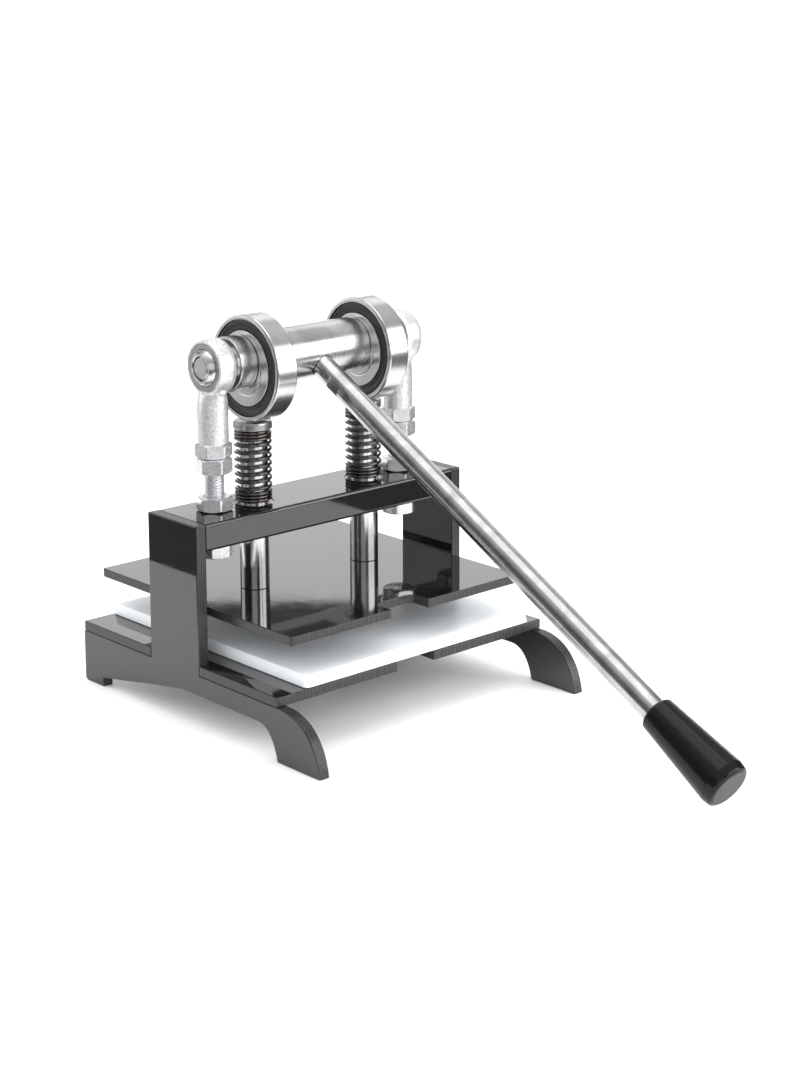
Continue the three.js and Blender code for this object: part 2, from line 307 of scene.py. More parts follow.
# ---- material helpers ----------------------------------------------------------------------------
class Shader:
    """A principled material built up from a few node calls."""

    def __init__(self, name, **values):
        self.material = bpy.data.materials.new(name)
        self.material.use_nodes = True
        self.tree = self.material.node_tree
        self.bsdf = self.tree.nodes["Principled BSDF"]
        self.heights = []
        for key, value in values.items():
            socket = self.bsdf.inputs[key.replace("_", " ")]
            is_colour = isinstance(value, tuple) and len(value) == 3 and socket.type == "RGBA"
            socket.default_value = (*value, 1) if is_colour else value
        self.where = self.node("ShaderNodeTexCoord").outputs["Object"]

    def node(self, kind, **values):
        made = self.tree.nodes.new(kind)
        for key, value in values.items():
            setattr(made, key, value)
        return made

    def link(self, source, target):
        self.tree.links.new(source, target)

    def coords(self, scale=(1, 1, 1), turn=(0, 0, 0), shift=(0, 0, 0)):
        """Object coordinates, shifted, turned and stretched."""
        mapping = self.node("ShaderNodeMapping")
        mapping.vector_type = "TEXTURE"
        mapping.inputs["Location"].default_value = shift
        mapping.inputs["Rotation"].default_value = turn
        self.link(self.where, mapping.inputs["Vector"])
        stretch = self.node("ShaderNodeVectorMath", operation="MULTIPLY")
        self.link(mapping.outputs[0], stretch.inputs[0])
        stretch.inputs[1].default_value = scale
        return stretch.outputs[0]

    def noise(self, scale, detail=3.0, where=None, rough=0.55, warp=0.0):
        made = self.node("ShaderNodeTexNoise")
        made.inputs["Scale"].default_value = scale
        made.inputs["Detail"].default_value = detail
        made.inputs["Roughness"].default_value = rough
        made.inputs["Distortion"].default_value = warp
        self.link(where or self.where, made.inputs["Vector"])
        return made.outputs["Fac"]

    def cells(self, scale):
        made = self.node("ShaderNodeTexVoronoi")
        made.inputs["Scale"].default_value = scale
        self.link(self.where, made.inputs["Vector"])
        return made.outputs["Distance"]

    def remap(self, value, low, high, to_low=0.0, to_high=1.0):
        made = self.node("ShaderNodeMapRange")
        self.link(value, made.inputs["Value"])
        for key, number in (("From Min", low), ("From Max", high), ("To Min", to_low), ("To Max", to_high)):
            made.inputs[key].default_value = number
        return made.outputs["Result"]

    def maths(self, operation, a, b=None):
        made = self.node("ShaderNodeMath", operation=operation)
        for socket, value in zip(made.inputs, (a, b)):
            if isinstance(value, (int, float)):
                socket.default_value = value
            elif value is not None:
                self.link(value, socket)
        return made.outputs[0]

    def colour(self, factor, low, high):
        made = self.node("ShaderNodeMix", data_type="RGBA")
        self.link(factor, made.inputs["Factor"])
        made.inputs[6].default_value = (*low, 1)
        made.inputs[7].default_value = (*high, 1)
        self.link(made.outputs[2], self.bsdf.inputs["Base Color"])

    def roughness(self, factor, low, high):
        self.link(self.remap(factor, 0.3, 0.7, low, high), self.bsdf.inputs["Roughness"])

    def bump(self, height, depth):
        """Adds relief `depth` millimetres deep over the height's 0 to 1."""
        made = self.node("ShaderNodeBump")
        made.inputs["Strength"].default_value = 1.0
        made.inputs["Distance"].default_value = depth * MM
        self.link(height, made.inputs["Height"])
        if self.heights:
            self.link(self.heights[-1].outputs[0], made.inputs["Normal"])
        self.heights.append(made)
        self.link(made.outputs[0], self.bsdf.inputs["Normal"])


def gloss_paint(name="black_gloss_paint"):
    s = Shader(name, Roughness=0.05, IOR=1.78)
    cloud = s.noise(18, 4)
    specks = s.remap(s.cells(420), 0.0, 0.09, 1.0, 0.0)
    s.colour(s.maths("ADD", s.remap(cloud, 0.3, 0.7, 0.0, 0.5), s.maths("MULTIPLY", specks, 0.5)),
             (0.006, 0.006, 0.0075), (0.011, 0.0112, 0.013))
    s.roughness(s.noise(60, 5), 0.018, 0.055)
    s.bump(s.noise(170, 2.0, rough=0.4), 0.0035)
    s.bump(s.noise(1500, 2.0), 0.0006)
    return s.material


def cut_edge():
    """Paint over a laser-cut rim: fine ridges run through the thickness."""
    s = Shader("paint_on_cut_edge", IOR=1.5)
    ridges = s.noise(1, 3, where=s.coords((1700, 1700, 60)))
    s.colour(s.noise(700, 4), (0.014, 0.014, 0.015), (0.034, 0.0345, 0.037))
    s.roughness(ridges, 0.24, 0.32)
    s.bump(ridges, 0.008)
    s.bump(s.noise(1300, 3), 0.012)
    return s.material


def weld_paint():
    s = Shader("paint_on_weld", IOR=1.5)
    s.colour(s.noise(400, 4), (0.012, 0.012, 0.014), (0.04, 0.04, 0.042))
    s.roughness(s.noise(500, 4), 0.12, 0.35)
    s.bump(s.noise(700, 3), 0.08)
    return s.material


def bright_zinc():
    s = Shader("bright_zinc_plate", Metallic=0.82)
    s.colour(s.noise(130, 4), (0.7, 0.71, 0.73), (0.87, 0.88, 0.89))
    s.roughness(s.noise(420, 5), 0.16, 0.34)
    s.bump(s.noise(1100, 3), 0.012)
    s.bump(s.noise(90, 2), 0.03)
    return s.material


def cast_zinc():
    """Zinc over a forged skin: grainy, with soft dents and darker pits."""
    s = Shader("zinc_on_forging", Metallic=0.7)
    grain = s.noise(950, 5, rough=0.65)
    s.colour(s.remap(grain, 0.3, 0.62), (0.46, 0.47, 0.48), (0.88, 0.89, 0.9))
    s.roughness(s.noise(600, 5), 0.26, 0.46)
    s.bump(s.noise(620, 4, rough=0.6), 0.11)
    s.bump(s.noise(120, 2), 0.12)
    return s.material


def turned_steel(name, along, rough, low=(0.55, 0.55, 0.56), high=(0.74, 0.74, 0.75), turn=(0, 0, 0)):
    """Ground bar: hair lines run round it, so they change fast only along its axis."""
    s = Shader(name, Metallic=1.0)
    lines = s.noise(1, 4, where=s.coords([2600 if k == along else 35 for k in range(3)], turn), rough=0.7)
    mottle = s.noise(45, 4, warp=0.6)
    s.colour(s.remap(mottle, 0.32, 0.68), low, high)
    s.roughness(s.maths("ADD", s.maths("MULTIPLY", lines, 0.6), s.maths("MULTIPLY", mottle, 0.4)), *rough)
    s.bump(lines, 0.004)
    return s.material


def ground_ring(name, at):
    """Bearing ring: lathe lines run round its centre on the faces."""
    s = Shader(name, Metallic=1.0)
    off = s.node("ShaderNodeVectorMath", operation="SUBTRACT")
    s.link(s.where, off.inputs[0])
    off.inputs[1].default_value = Vector(at) * MM
    flat = s.node("ShaderNodeVectorMath", operation="MULTIPLY")
    s.link(off.outputs[0], flat.inputs[0])
    flat.inputs[1].default_value = (0, 1, 1)
    radius = s.node("ShaderNodeVectorMath", operation="LENGTH")
    s.link(flat.outputs[0], radius.inputs[0])
    line = s.node("ShaderNodeCombineXYZ")
    s.link(s.maths("MULTIPLY", radius.outputs["Value"], 3200.0), line.inputs[0])
    x = s.node("ShaderNodeSeparateXYZ")
    s.link(s.where, x.inputs[0])
    s.link(s.maths("MULTIPLY", x.outputs[0], 2200.0), line.inputs[1])
    lines = s.noise(1, 3, where=line.outputs[0], rough=0.7)
    s.colour(s.noise(70, 3), (0.6, 0.6, 0.61), (0.78, 0.78, 0.79))
    s.roughness(lines, 0.15, 0.28)
    s.bump(lines, 0.004)
    return s.material


def seal_rubber():
    s = Shader("moulded_seal_rubber", IOR=1.5)
    s.colour(s.noise(300, 4), (0.009, 0.009, 0.01), (0.022, 0.022, 0.024))
    s.roughness(s.noise(900, 4), 0.32, 0.5)
    s.bump(s.noise(1800, 3), 0.012)
    return s.material


def spring_wire():
    s = Shader("oiled_spring_wire", Metallic=1.0)
    s.colour(s.noise(240, 4), (0.05, 0.045, 0.042), (0.2, 0.184, 0.172))
    s.roughness(s.noise(700, 5), 0.12, 0.26)
    s.bump(s.noise(1300, 4), 0.015)
    return s.material


def bare_steel():
    s = Shader("bare_turned_steel", Metallic=1.0)
    s.colour(s.noise(150, 4), (0.36, 0.35, 0.34), (0.58, 0.57, 0.56))
    s.roughness(s.noise(1, 3, where=s.coords((60, 60, 2400))), 0.2, 0.38)
    s.bump(s.noise(900, 3), 0.01)
    return s.material


def board_plastic():
    """Milky polyethylene, faintly scuffed by dies."""
    s = Shader("milky_polyethylene", IOR=1.5, Subsurface_Weight=0.25, Subsurface_Scale=0.01)
    s.bsdf.inputs["Subsurface Radius"].default_value = (1.0, 1.05, 1.15)
    s.colour(s.noise(14, 4), (0.8, 0.84, 0.88), (0.85, 0.885, 0.915))
    scuffs = s.noise(1, 5, where=s.coords((30, 900, 30)), rough=0.6)
    s.roughness(s.maths("MULTIPLY", s.maths("ADD", scuffs, s.noise(45, 4)), 0.5), 0.24, 0.42)
    s.bump(scuffs, 0.012)
    s.bump(s.noise(900, 3), 0.012)
    return s.material


def grip_plastic():
    s = Shader("glossy_grip_moulding", IOR=1.42, Specular_IOR_Level=0.35)
    s.colour(s.noise(40, 4), (0.003, 0.003, 0.0035), (0.006, 0.006, 0.0065))
    s.roughness(s.noise(120, 5), 0.1, 0.24)
    s.bump(s.noise(240, 3), 0.02)
    s.bump(s.noise(1500, 3), 0.004)
    return s.material


PAINT, EDGE, WELD = gloss_paint(), cut_edge(), weld_paint()
ZINC, CAST, SPRING, RUBBER = bright_zinc(), cast_zinc(), spring_wire(), seal_rubber()
STEEL, BOARD, GRIP = bare_steel(), board_plastic(), grip_plastic()
POLISHED_X = turned_steel("ground_shaft", 0, rough=(0.2, 0.32))
POLISHED_Z = turned_steel("ground_post", 2, rough=(0.1, 0.2))
POLISHED_LEVER = turned_steel("polished_lever", 1, (0.14, 0.27), (0.38, 0.375, 0.37), (0.64, 0.635, 0.63),
                              turn=(LEVER_DOWN, 0, 0))


def dress(obj, *nodes):
    """The piece stands for its CAD nodes and rides on their body."""
    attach(obj, BODY[nodes[0]])
    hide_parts(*nodes)
    return obj


def piece(node, shape, *materials, smooth=SMOOTH):
    return dress(mesh_object(f"{node}_detail", *shape, *materials, smooth=smooth), node)


def rim_material(obj, across):
    """The second material goes on the faces that look away from the plate's thickness."""
    for face in obj.data.polygons:
        face.material_index = int(abs(face.normal.dot(across)) < 0.35)


# ---- welded frame --------------------------------------------------------------------------------
MID_Y = middle("crossbeam").y
COLUMN = 26.5                                # half depth of a column
BASE_LO, BASE_HI = box("base_plate")
BEAM_LO, BEAM_HI = box("crossbeam")


def side_plate(side):
    lo, hi = box(f"side_plate_{side}")
    top = BASE_LO.z - 0.3
    front = bezier((-108, top), (-129, 36.5), (-144.5, 24), (-148, 0.4))
    arch = bezier((-106.5, 0), (-104, 11), (-98.5, 21), (-88, 22))
    points = [(84.3, 0), (106, 0, 3), (106, top, 1), (COLUMN, top), (COLUMN, hi.z, 1),
              (-COLUMN, hi.z, 1), (-COLUMN, top), (-108, top), *front, (-147, 0), (-106.5, 0), *arch,
              (-8, 22.2), (28, 16.4), (84.3, 6.2)]
    rim = [(p.x + MID_Y, p.y) for p in outline(points, 4)]
    shape = slab([(rim, edge(0.7, lo.x, hi.x))], lambda u, v, w: Vector((w, u, v)))
    rim_material(piece(f"side_plate_{side}", shape, PAINT, EDGE), X)


def base_plate():
    lo, hi = BASE_LO, BASE_HI
    half, slot, inner = 16.2, COLUMN + 0.3, hi.x - 8.3
    r, back = 1.0, lo.y + 14.7
    front, rear = MID_Y - slot, MID_Y + slot
    points = [(lo.x, lo.y, r), (-half, lo.y, r), (-half, back), (half, back), (half, lo.y, r),
              (hi.x, lo.y, r), (hi.x, front, r), (inner, front), (inner, rear), (hi.x, rear, r),
              (hi.x, hi.y, r), (lo.x, hi.y, r), (lo.x, rear, r), (-inner, rear), (-inner, front),
              (lo.x, front, r)]
    shape = slab([(outline(points, 4), edge(0.6, lo.z, hi.z))], lambda u, v, w: Vector((u, v, w)))
    rim_material(piece("base_plate", shape, PAINT, EDGE), Z)


def crossbeam():
    lo, hi = BEAM_LO, BEAM_HI
    corners = [(lo.x, lo.y), (hi.x, lo.y), (hi.x, hi.y), (lo.x, hi.y)]
    holes = [circle(s * 49, MID_Y, 13.3) for _, s in SIDES] + [circle(s * 82, MID_Y, 7.3) for _, s in SIDES]

    def place(u, v, w):
        ends = abs(u) > hi.x - 3               # the rounding stops where the beam meets the columns
        return Vector((math.copysign(hi.x, u) if ends else u, v, w))
    loops = [(corners, edge(2.0, lo.z, hi.z, 6))] + [(h, edge(0.3, lo.z, hi.z, 2)) for h in holes]
    piece("crossbeam", slab(loops, place), PAINT)


def weld_bead(node, s):
    """A rippled fillet of weld along Y in the corner between a plate and the inside of a side plate."""
    lo, hi = box(node)
    corner = Vector((hi.x if s > 0 else lo.x, 0, hi.z))
    steps, around = int((hi.y - lo.y) / 0.8), 8
    verts, faces = [], []
    for i in range(steps + 1):
        y = lo.y + (hi.y - lo.y) * i / steps
        ripple = 1 + 0.05 * math.cos(2 * math.pi * y / 3.2)
        end = min(1.0, 0.35 + 0.65 * math.sqrt(min(i, steps - i) / 5)) if min(i, steps - i) < 5 else 1.0
        ring = [corner + Vector((0, y, 0))]
        for k in range(around + 1):
            a = math.pi / 2 * k / around
            r = 3.75 * ripple * end * (1 - 0.16 * math.sin(2 * a))
            ring.append(Vector((corner.x - s * r * math.cos(a), y, corner.z - r * math.sin(a))))
        verts += ring
    n = around + 2
    for i in range(steps):
        for k in range(n):
            a, b = i * n + k, i * n + (k + 1) % n
            faces.append((a, b, b + n, a + n))
    faces += [tuple(range(n)), tuple(range(steps * n, steps * n + n))]
    piece(node, (verts, faces), WELD, smooth=50)


base_plate()
crossbeam()
for side, s in SIDES:
    side_plate(side)
    for node in (f"base_weld_front_{side}", f"base_weld_rear_{side}", f"beam_weld_{side}"):
        weld_bead(node, s)


# ---- cutting board -------------------------------------------------------------------------------
def cutting_board():
    lo, hi = box("cutting_board")
    points = [(lo.x, lo.y, 3.5), (hi.x, lo.y, 3.5), (hi.x, hi.y, 3.5), (lo.x, hi.y, 3.5)]
    top = [(2.2 - 0.9 + 0.9 * (1 - math.cos(a)) + 0.4, hi.z - 0.9 + 0.9 * math.sin(a))
           for a in (math.pi / 2 * k / 5 for k in range(6))]
    section = [(0.5, lo.z), (0.1, lo.z + 0.15), (0, lo.z + 0.6), (1.35, hi.z - 1.6), *top]
    loops = [(outline(points, 8), section)]
    piece("cutting_board", slab(loops, lambda u, v, w: Vector((u, v, w))), BOARD)


cutting_board()


# ---- studs, nuts and rod ends --------------------------------------------------------------------
STUD_R, HEX = 6.85, 22


def stud_set(side):
    x = middle(f"stud_bolt_{side}").x
    at = (x, MID_Y, 0)
    lo, hi = box(f"stud_bolt_{side}")
    head = nut_rings(HEX, lo.z, 114, 0, 0.2, high=False)[:3]
    head = [(0, lo.z), *head, (0, 114)]
    shank = [(0, 112), (STUD_R, 112), (STUD_R, 134), *thread_rings(STUD_R, 2.0, 134, hi.z), (0, hi.z)]
    piece(f"stud_bolt_{side}", joined(revolve(head, Z, at, 72), revolve(shank, Z, at, 48)), ZINC, smooth=38)
    w0, w1 = box(f"bolt_washer_{side}")
    bore, rim = 7.3, 13.6
    washer = [(bore, w0.z, 0.2), (rim, w0.z, 0.4), (rim, w1.z, 0.4), (bore, w1.z, 0.2)]
    piece(f"bolt_washer_{side}", revolve(rounded(washer), Z, at, closed=True), ZINC)
    for node, turned in ((f"beam_nut_{side}", -0.31), (f"jam_nut_{side}", -0.22)):
        lo, hi = box(node)
        rings = nut_rings(HEX, lo.z, hi.z, 6.95, turned)
        piece(node, revolve(rings, Z, at, 144, closed=True), ZINC, smooth=22)


def rod_end(side):
    """Forged eye and shank, melted together so that they blend, on a hexagon foot."""
    node = f"rod_end_{side}"
    lo, hi = box(node)
    x = middle(node).x
    half, r = 7.0, hi.z - SHAFT_AXIS.z
    eye = [(16.3, -half + 0.2, 0.4), (17.0, -half, 0.3), (17.9, -half, 0.8), (r, -half + 3.4, 2.5),
           (r, half - 3.4, 2.5), (17.9, half, 0.8), (17.0, half, 0.3), (16.3, half - 0.2, 0.4)]
    ring = revolve(rounded(eye, 4), X, (x, MID_Y, SHAFT_AXIS.z), 96, closed=True)
    neck, foot = SHAFT_AXIS.z - 16.8, lo.z + 9.2
    shank = ((foot, 10.3, 10.3), (foot + 24, 10.3, 10.4), (foot + 29, 9.6, 10.6),
             (foot + 34, 7.6, 11.4), (neck, 6.7, 13.0), (neck + 1.5, 6.3, 13.2))
    count = 64
    turns = [2 * math.pi * k / count for k in range(count)]
    verts = [Vector((x + across * math.cos(a), MID_Y + along * math.sin(a), z))
             for z, across, along in shank for a in turns]
    faces = []
    for low in range(0, len(verts) - count, count):
        for k, nxt in enumerate([*range(1, count), 0]):
            faces.append((low + k, low + nxt, low + nxt + count, low + k + count))
    faces += [tuple(range(count)), tuple(range(len(verts) - count, len(verts)))]
    body = mesh_object(f"{node}_detail", *joined(ring, (verts, faces)), CAST)
    melt = body.modifiers.new("melt", "REMESH")
    melt.mode = "VOXEL"
    melt.voxel_size = 0.00045
    relax = body.modifiers.new("relax", "SMOOTH")
    relax.factor = 0.5
    relax.iterations = 9
    modified(body, 60)
    body.data.materials.clear()
    body.data.materials.append(CAST)
    dress(body, node)
    hexagon = nut_rings(HEX, lo.z, foot + 0.6, 6.95)
    shape = revolve(hexagon, Z, (x, MID_Y, 0), 144, closed=True)
    base = mesh_object(f"{node}_hexagon", *shape, ZINC, smooth=22)
    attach(base, BODY[node])


def rod_end_joint(side):
    x = middle(f"rod_end_race_{side}").x
    at = (x, MID_Y, SHAFT_AXIS.z)
    ball, shell, half = 14.0, 16.15, 6.6
    inner = [(math.sqrt((ball + 0.25) ** 2 - u * u), u) for u in (half * (k / 6 - 1) for k in range(13))]
    race = [*inner, (shell - 0.4, half), (shell, half - 0.4), (shell, -half + 0.4), (shell - 0.4, -half)]
    piece(f"rod_end_race_{side}", revolve(race, X, at, closed=True), STEEL)
    wide, pin = 10.0, 8.2
    crown = [(math.sqrt(ball**2 - u * u), u) for u in (wide * (k / 8 - 1) for k in range(17))]
    shape = [(pin, -wide + 0.5), (pin + 0.5, -wide), *crown, (pin + 0.5, wide), (pin, wide - 0.5)]
    piece(f"rod_end_ball_{side}", revolve(shape, X, at, closed=True), ground_ring(f"ball_{side}_steel", at))


for side, s in SIDES:
    stud_set(side)
    rod_end(side)
    rod_end_joint(side)


# ---- ram: pressure plate, posts, caps, screws and springs ----------------------------------------
POST_X, POST_R = 49, 10
PLATE_LO, PLATE_HI = box("pressure_plate")


def pressure_plate():
    lo, hi = PLATE_LO, PLATE_HI
    half, back = 16.2, PLATE_LO.y + 17
    points = [(lo.x, lo.y, 2), (-half, lo.y, 1), (-half, back, 5.5), (half, back, 5.5), (half, lo.y, 1),
              (hi.x, lo.y, 2), (hi.x, hi.y, 2), (lo.x, hi.y, 2)]
    sink = [(4.5, lo.z), (4.0, lo.z + 0.3), (0, lo.z + 4), (0, hi.z - 0.2), (0.2, hi.z)]
    loops = [(outline(points, 5), edge(0.5, lo.z, hi.z))]
    loops += [([tuple(p) for p in circle(s * POST_X, MID_Y, 5.3)], sink)
              for _, s in SIDES]
    rim_material(piece("pressure_plate", slab(loops, lambda u, v, w: Vector((u, v, w))), PAINT, EDGE), Z)


def guide_post(side, s):
    at = (s * POST_X, MID_Y, 0)
    lo, hi = box(f"guide_post_{side}")
    post = fillet([(0, lo.z - 0.2), (POST_R, lo.z - 0.2, 0.35), (POST_R, hi.z, 0.6), (0, hi.z)], 3)
    piece(f"guide_post_{side}", revolve([tuple(p) for p in post], Z, at, 128), POLISHED_Z)
    lo, hi = box(f"spring_cap_{side}")
    r = (hi.x - lo.x) / 2
    cap = fillet([(0, hi.z - 2.4), (POST_R + 0.15, hi.z - 2.4), (POST_R + 0.15, lo.z, 0.2), (r, lo.z, 0.5),
                  (r, hi.z, 1.3), (0, hi.z)], 4)
    piece(f"spring_cap_{side}", revolve([tuple(p) for p in cap], Z, at, 128), STEEL)
    lo, hi = box(f"guide_bush_{side}")
    bore, rim, low = 10.25, 13.1, lo.z - 0.25
    bush = [(bore, low, 0.3), (rim, low, 0.3), (rim, hi.z, 0.3), (bore, hi.z, 0.3)]
    piece(f"guide_bush_{side}", revolve(rounded(bush), Z, at, closed=True), STEEL)


def plate_screw(side, s):
    """Countersunk screw with a hexagon socket, seen from under the plate."""
    at = (s * POST_X, MID_Y, 0)
    lo, hi = box(f"plate_screw_{side}")
    socket = hex_radius(6, clip=0.1)
    rings = [(0, lo.z + 3.2), (2.2, lo.z + 2.7), (socket, lo.z + 2.6), (socket, lo.z + 0.25),
             (lambda a: socket(a) + 0.25, lo.z), (8.6, lo.z), (9, lo.z + 0.3), (5, lo.z + 4),
             (5, hi.z - 1), (4, hi.z), (0, hi.z)]
    piece(f"plate_screw_{side}", revolve(rings, Z, at, 72), ZINC, smooth=25)


def return_spring(side, s):
    """Round wire with close-wound, ground ends; it stretches between the beam and the cap."""
    node = f"return_spring_{side}"
    lo, hi = box(node)
    wire, radius, pitch = 1.05, 11.8, 2.32
    bottom, active, top = 3.25, 7.0, 2.5
    z0, z1 = lo.z + wire * 0.75, hi.z - wire * 0.75
    knots = [(0, z0), (bottom, z0 + bottom * pitch), (bottom + active, z1 - top * pitch),
             (bottom + active + top, z1)]
    around, per_turn = 14, 40
    steps = int(knots[-1][0] * per_turn)
    foot = Vector((s * POST_X, MID_Y, 0))
    verts = []
    for i in range(steps + 1):
        n = knots[-1][0] * i / steps
        k = 0 if n <= knots[1][0] else 1 if n <= knots[2][0] else 2
        (n0, h0), (n1, h1) = knots[k], knots[k + 1]
        z = h0 + (h1 - h0) * (n - n0) / (n1 - n0)
        a = 2 * math.pi * n
        out = Vector((math.cos(a), math.sin(a), 0))
        for j in range(around):
            b = 2 * math.pi * j / around
            p = foot + out * (radius + wire * math.cos(b)) + Z * (z + wire * math.sin(b))
            p.z = min(hi.z, max(lo.z, p.z))      # ends ground flat
            verts.append(p)
    faces = []
    for i in range(steps):
        for j in range(around):
            a, b = i * around + j, i * around + (j + 1) % around
            faces.append((a, b, b + around, a + around))
    faces += [tuple(range(around)), tuple(range(steps * around, (steps + 1) * around))]
    coil = mesh_object(f"{node}_detail", verts, faces, SPRING, smooth=60)
    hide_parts(node)
    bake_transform(coil)


pressure_plate()
for side, s in SIDES:
    guide_post(side, s)
    plate_screw(side, s)
    return_spring(side, s)


# ---- cam shaft, roller bearings and lever --------------------------------------------------------
SHAFT_R, JOURNAL_R, PIN_R, LEVER_R = 18.5, 17.7, 7.9, 8.0


def cam_shaft():
    lo, hi = box("cam_shaft")
    end, shoulder = hi.x, 40.3
    pin = fillet([(0, -end), (PIN_R - 1.3, -end, 0.3), (PIN_R, -end + 1.3, 0.4), (PIN_R, -shoulder)], 3)
    middle_run = fillet([(PIN_R, -shoulder), (SHAFT_R, -shoulder, 0.6), (SHAFT_R, -16)], 3)[1:]
    dense = [(SHAFT_R, -16 + 2 * k) for k in range(1, 17)]
    left = [tuple(p) for p in pin] + [tuple(p) for p in middle_run]
    rings = left + dense[:-1] + [(r, -h) for r, h in reversed(left)]
    bar = mesh_object("cam_shaft_detail", *revolve(rings, X, SHAFT_AXIS, 160), POLISHED_X)
    rim = SHAFT_R + 0.02
    hole = [(0, -1), (LEVER_R + 0.35, -1), (LEVER_R + 0.35, rim - 3.2), (LEVER_R + 0.45, rim - 0.6),
            (LEVER_R + 1.6, rim + 3), (0, rim + 3)]
    cut(bar, mesh_object("lever_hole", *revolve(hole, LEVER_DIR, SHAFT_AXIS, 64)))
    dress(bar, "cam_shaft")
    for side, s in SIDES:
        x0, x1 = sorted((s * 40.5, s * 57.5))
        journal = fillet([(0, x0), (JOURNAL_R, x0, 0.5), (JOURNAL_R, x1, 0.5), (0, x1)], 3)
        at = Vector((0, ROLLER[side].y, ROLLER[side].z))
        shape = revolve([tuple(p) for p in journal], X, at, 128)
        cam = mesh_object(f"cam_journal_{side}", *shape, POLISHED_X)
        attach(cam, "cam")
        lo, hi = box(f"shaft_collar_{side}")
        bore = PIN_R + 0.1
        collar = [(bore, lo.x, 0.2), (SHAFT_R, lo.x, 0.7), (SHAFT_R, hi.x, 0.7), (bore, hi.x, 0.2)]
        shape = revolve(rounded(collar), X, (0, MID_Y, SHAFT_AXIS.z), 128, closed=True)
        piece(f"shaft_collar_{side}", shape, POLISHED_X)


def roller(side):
    at = ROLLER[side]
    steel = ground_ring(f"bearing_steel_{side}", at)
    half, outer, lip = 8.5, 36.0, 32.6
    groove = lip + 0.35
    ring = [(lip, -half + 2.4), (groove, -half + 0.5, 0.2), (groove, -half, 0.15), (outer, -half, 1.2),
            (outer, half, 1.2), (groove, half, 0.15), (groove, half - 0.5, 0.2), (lip, half - 2.4)]
    piece(f"bearing_outer_ring_{side}", revolve(rounded(ring, 4), X, at, 192, closed=True), steel)
    bore, land = 17.8, 25.4
    ring = [(land - 0.5, -half + 2.4), (land, -half + 1.8), (land, -half, 0.4), (bore, -half, 0.9),
            (bore, half, 0.9), (land, half, 0.4), (land, half - 1.8), (land - 0.5, half - 2.4)]
    piece(f"bearing_inner_ring_{side}", revolve(rounded(ring, 4), X, at, 160, closed=True), steel)
    for name, sign in (("left", -1), ("right", 1)):
        face = "outer" if name == side else "inner"
        w = [6.6, 7.2, 7.55, 8.0]
        lips = [(32.4, w[0]), (32.4, w[2], 0.3), (31.3, w[3], 0.2), (30.6, w[3], 0.2), (30.2, w[2], 0.2),
                (28.0, w[1], 0.4), (27.5, w[3] - 0.15, 0.25), (26.6, w[3] - 0.15, 0.25), (26.2, w[1], 0.2),
                (25.6, w[2], 0.2), (25.6, w[0])]
        rings = [(p.x, sign * p.y) for p in fillet(lips, 3, closed=True)]
        piece(f"bearing_seal_{face}_{side}", revolve(rings, X, at, 160, closed=True), RUBBER)
    cage = frame["nodes"][f"bearing_ball_cage_{side}"]
    cage.data.materials.clear()
    cage.data.materials.append(STEEL)


def lever():
    lo, hi = 33.5, 45.0
    flat, tip = 6.7, 414.0

    def clipped(a):
        return min(LEVER_R, flat / max(1e-6, abs(math.cos(a))))
    step = 0.35
    rings = [(0, -5.5), (LEVER_R - 1, -5.5), (LEVER_R, -4.5), (LEVER_R, 20), (LEVER_R, lo),
             (clipped, lo + step), (clipped, hi - step), (LEVER_R, hi)]
    rings += [(LEVER_R, hi + (tip - hi) * k / 30) for k in range(1, 31)] + [(0, tip)]
    piece("lever_rod", revolve(rings, LEVER_DIR, SHAFT_AXIS, 96), POLISHED_LEVER, smooth=20)
    start, end = 360.0, 424.0
    bore = LEVER_R + 0.2
    grip = [(bore, start + 6), (bore, start + 0.6, 0.3), (10.1, start, 0.6), (11.4, start + 1.4, 1.2),
            (13.6, start + 30, 60), (15.75, end - 6.5, 5), (14.9, end - 1.2, 2.2), (12.6, end, 3), (0, end)]
    rings = [tuple(p) for p in fillet(grip, 8)]
    piece("handle_grip", revolve(rings, LEVER_DIR, SHAFT_AXIS, 128), GRIP, smooth=40)


cam_shaft()
for side, _ in SIDES:
    roller(side)
lever()


# ---- floor, light and camera ---------------------------------------------------------------------
CENTRE = Vector((0, MID_Y, 0)) * MM
TABLE = ((-322, -620), (320, 900))       # x and y of the mirrored table's corners, in millimetres
ROOM_WHITE, ROOM_MIRRORED = 1.4, (0.12, 0.7)   # the second is near the horizon and overhead
PANELS = (                               # azimuth, low, high, width, distance, radiance
    ("backdrop", 48, 0.0, 0.602, 2.6, 1.6, 1.45),
    ("back_softbox", 40, 0.79, 1.75, 2.2, 1.6, 0.9),
    ("front_right_softbox", -66, 0.06, 1.35, 1.5, 1.5, 3.2),
    ("left_softbox", 122, 0.12, 0.95, 1.0, 1.5, 1.4),
    ("left_low_softbox", 132, -0.15, 0.12, 1.2, 1.5, 0.55),
    ("front_left_softbox", -134, 0.1, 1.3, 1.3, 1.9, 0.75),
)
CAMERA_AT = (-0.93163, -0.98790, 0.51477)
CAMERA_TURN = (-41.982, 10.249, 0.281)   # azimuth, elevation and roll, in degrees
LENS_MM, LENS_SHIFT = 73.72678, (0.004311, -0.196345)


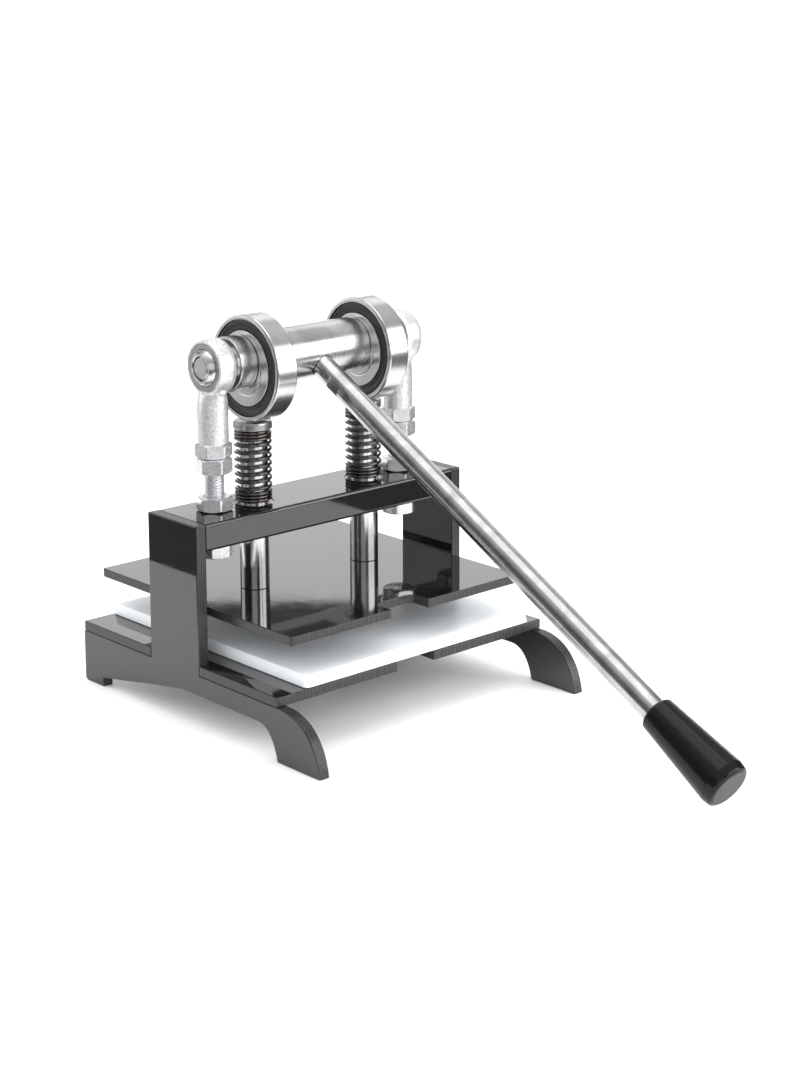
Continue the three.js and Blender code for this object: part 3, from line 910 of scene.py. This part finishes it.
def floor():
    """A pale floor, and over it the lit table that polished faces mirror, dark beyond its edge."""
    far = ((-6000, -6000), (6000, 6000))
    for name, (lo, hi), z, pale in (("floor", far, 0, 0.95), ("mirrored_table", TABLE, 0.05, 0.8)):
        s = Shader(f"pale_{name}", Roughness=0.6, Specular_IOR_Level=0.2)
        s.colour(s.noise(3, 3), (pale - 0.02,) * 3, (pale,) * 3)
        corners = [(lo[0], lo[1], z), (hi[0], lo[1], z), (hi[0], hi[1], z), (lo[0], hi[1], z)]
        sheet = mesh_object(name, corners, [(0, 1, 2, 3)], s.material)
        if name == "floor":
            sheet.visible_glossy = False
        else:
            sheet.visible_camera = sheet.visible_diffuse = sheet.visible_shadow = False


def studio():
    """White to the eye and to matt faces; polished faces see a dim room, lit from above, and the panels."""
    world = bpy.data.worlds.new("studio")
    bpy.context.scene.world = world
    world.use_nodes = True
    tree = world.node_tree
    background = tree.nodes["Background"]
    background.inputs["Color"].default_value = (1, 1, 1, 1)
    path = tree.nodes.new("ShaderNodeLightPath")
    direction = tree.nodes.new("ShaderNodeTexCoord")
    height = tree.nodes.new("ShaderNodeSeparateXYZ")
    tree.links.new(direction.outputs["Generated"], height.inputs[0])
    above = tree.nodes.new("ShaderNodeMapRange")
    tree.links.new(height.outputs["Z"], above.inputs["Value"])
    above.inputs["From Min"].default_value = 0.4
    above.inputs["From Max"].default_value = 0.85
    above.inputs["To Min"].default_value, above.inputs["To Max"].default_value = ROOM_MIRRORED
    room = tree.nodes.new("ShaderNodeMapRange")
    tree.links.new(path.outputs["Is Glossy Ray"], room.inputs["Value"])
    room.inputs["To Min"].default_value = ROOM_WHITE
    tree.links.new(above.outputs["Result"], room.inputs["To Max"])
    tree.links.new(room.outputs["Result"], background.inputs["Strength"])


def panel(name, azimuth, low, high, width, distance, radiance):
    """Upright soft box facing the press, from low to high above the bench, in metres and degrees."""
    light = bpy.data.lights.new(name, "AREA")
    light.shape = "RECTANGLE"
    light.size, light.size_y = width, high - low
    light.energy = radiance * math.pi * width * (high - low)
    obj = bpy.data.objects.new(name, light)
    bpy.context.scene.collection.objects.link(obj)
    a = math.radians(azimuth)
    obj.location = CENTRE + Vector((math.cos(a) * distance, math.sin(a) * distance, (low + high) / 2))
    facing = Vector((-math.cos(a), -math.sin(a), 0))
    obj.rotation_euler = facing.to_track_quat("-Z", "Y").to_euler()
    obj.visible_camera = False
    return obj


def overhead(radiance, size, height):
    light = bpy.data.lights.new("overhead", "AREA")
    light.shape = "SQUARE"
    light.size = size
    light.energy = radiance * math.pi * size * size
    obj = bpy.data.objects.new("overhead", light)
    bpy.context.scene.collection.objects.link(obj)
    obj.location = CENTRE + Vector((0, 0, height))
    obj.visible_camera = False


def camera():
    azimuth, elevation, roll = (math.radians(angle) for angle in CAMERA_TURN)
    back = Vector((math.sin(azimuth) * math.cos(elevation), -math.cos(azimuth) * math.cos(elevation),
                   math.sin(elevation)))
    right = (-back).cross(Z).normalized()
    down = (-back).cross(right)
    across = math.cos(roll) * right + math.sin(roll) * down
    upward = -(-math.sin(roll) * right + math.cos(roll) * down)
    lens = bpy.data.cameras.new("camera")
    lens.sensor_width = 36
    lens.lens = LENS_MM
    lens.shift_x, lens.shift_y = LENS_SHIFT
    obj = bpy.data.objects.new("camera", lens)
    bpy.context.scene.collection.objects.link(obj)
    turn = Matrix((across, upward, back)).transposed()
    obj.matrix_world = Matrix.Translation(CAMERA_AT) @ turn.to_4x4()
    lens.clip_end = 50
    bpy.context.scene.camera = obj


floor()
studio()
for row in PANELS:
    panel(*row)
overhead(1.1, 1.3, 1.5)
camera()
bpy.context.scene.view_settings.view_transform = "Standard"
